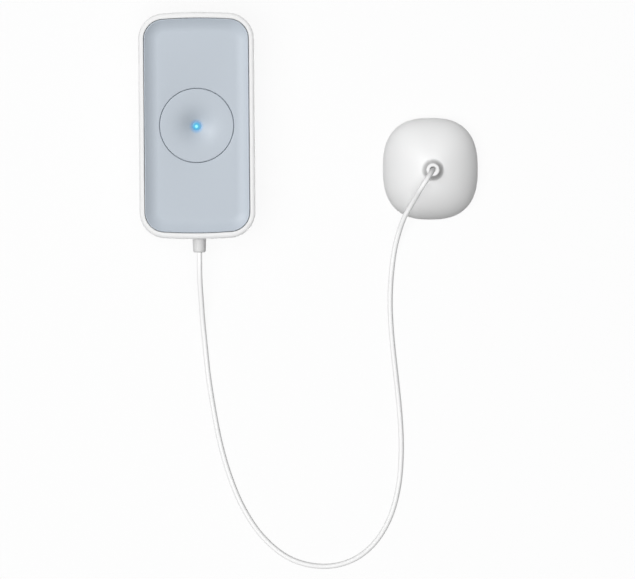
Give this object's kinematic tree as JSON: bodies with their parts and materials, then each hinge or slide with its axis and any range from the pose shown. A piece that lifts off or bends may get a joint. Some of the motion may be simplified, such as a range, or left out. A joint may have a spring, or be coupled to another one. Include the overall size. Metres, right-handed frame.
{
  "type": "water leak sensor",
  "caption": "Water leak sensor: rounded wall unit with a dished test button and a status light, joined by a thin lead to a domed floor probe on contact studs.",
  "frame": {"origin": "middle of the back face of the wall plate", "axes": "+Z out of the front of the wall unit, +Y to its top end away from the lead, +X towards the probe"},
  "size_m": [0.1203, 0.1983, 0.0247],
  "materials": {
    "white_plastic": "satin",
    "panel_plastic": "satin",
    "clear_lens": "clear",
    "grey_plastic": "satin",
    "black_plastic": "matte",
    "lead_jacket": "soft matte",
    "core_insulation": "gloss",
    "led_body": "gloss",
    "board": "solder mask",
    "steel": "nickel plated",
    "brass": "plated",
    "cell": "printed foil, plain",
    "gasket_rubber": "matte"
  },
  "bodies": {
    "main_unit": {"front_frame": "white_plastic", "front_panel": "panel_plastic", "tact_switch": "steel", "status_led": "led_body", "circuit_board": "board", "radio_module": "steel", "controller_chip": "black_plastic", "antenna_wire": "brass", "lead_header": "white_plastic", "lead_plug": "white_plastic", "lead_cores": "core_insulation", "rear_housing": "white_plastic", "battery_left": "cell", "battery_right": "cell", "bridge_contact": "steel", "negative_contact": "steel", "positive_contact": "steel", "case_screws": "steel", "board_screws": "steel", "strain_relief": "grey_plastic", "lead": "lead_jacket", "probe_shell": "white_plastic", "cord_bush": "lead_jacket", "probe_base": "white_plastic", "probe_gasket": "gasket_rubber", "contact_studs": "brass", "probe_board": "board", "probe_cores": "core_insulation"},
    "test_button": {"button_cap": "panel_plastic", "indicator_lens": "clear_lens", "switch_plunger": "black_plastic"},
    "wall_plate": {"back_plate": "white_plastic"}
  },
  "joints": [
    {"name": "button_press", "type": "slide", "parent": "main_unit", "child": "test_button", "axis": [0, 0, -1], "range_m": [0, 0.0005], "stiffness_N_per_m": 3000},
    {"name": "plate_slide", "type": "slide", "parent": "main_unit", "child": "wall_plate", "axis": [0, -1, 0], "range_m": [0, 0.006]}
  ]
}
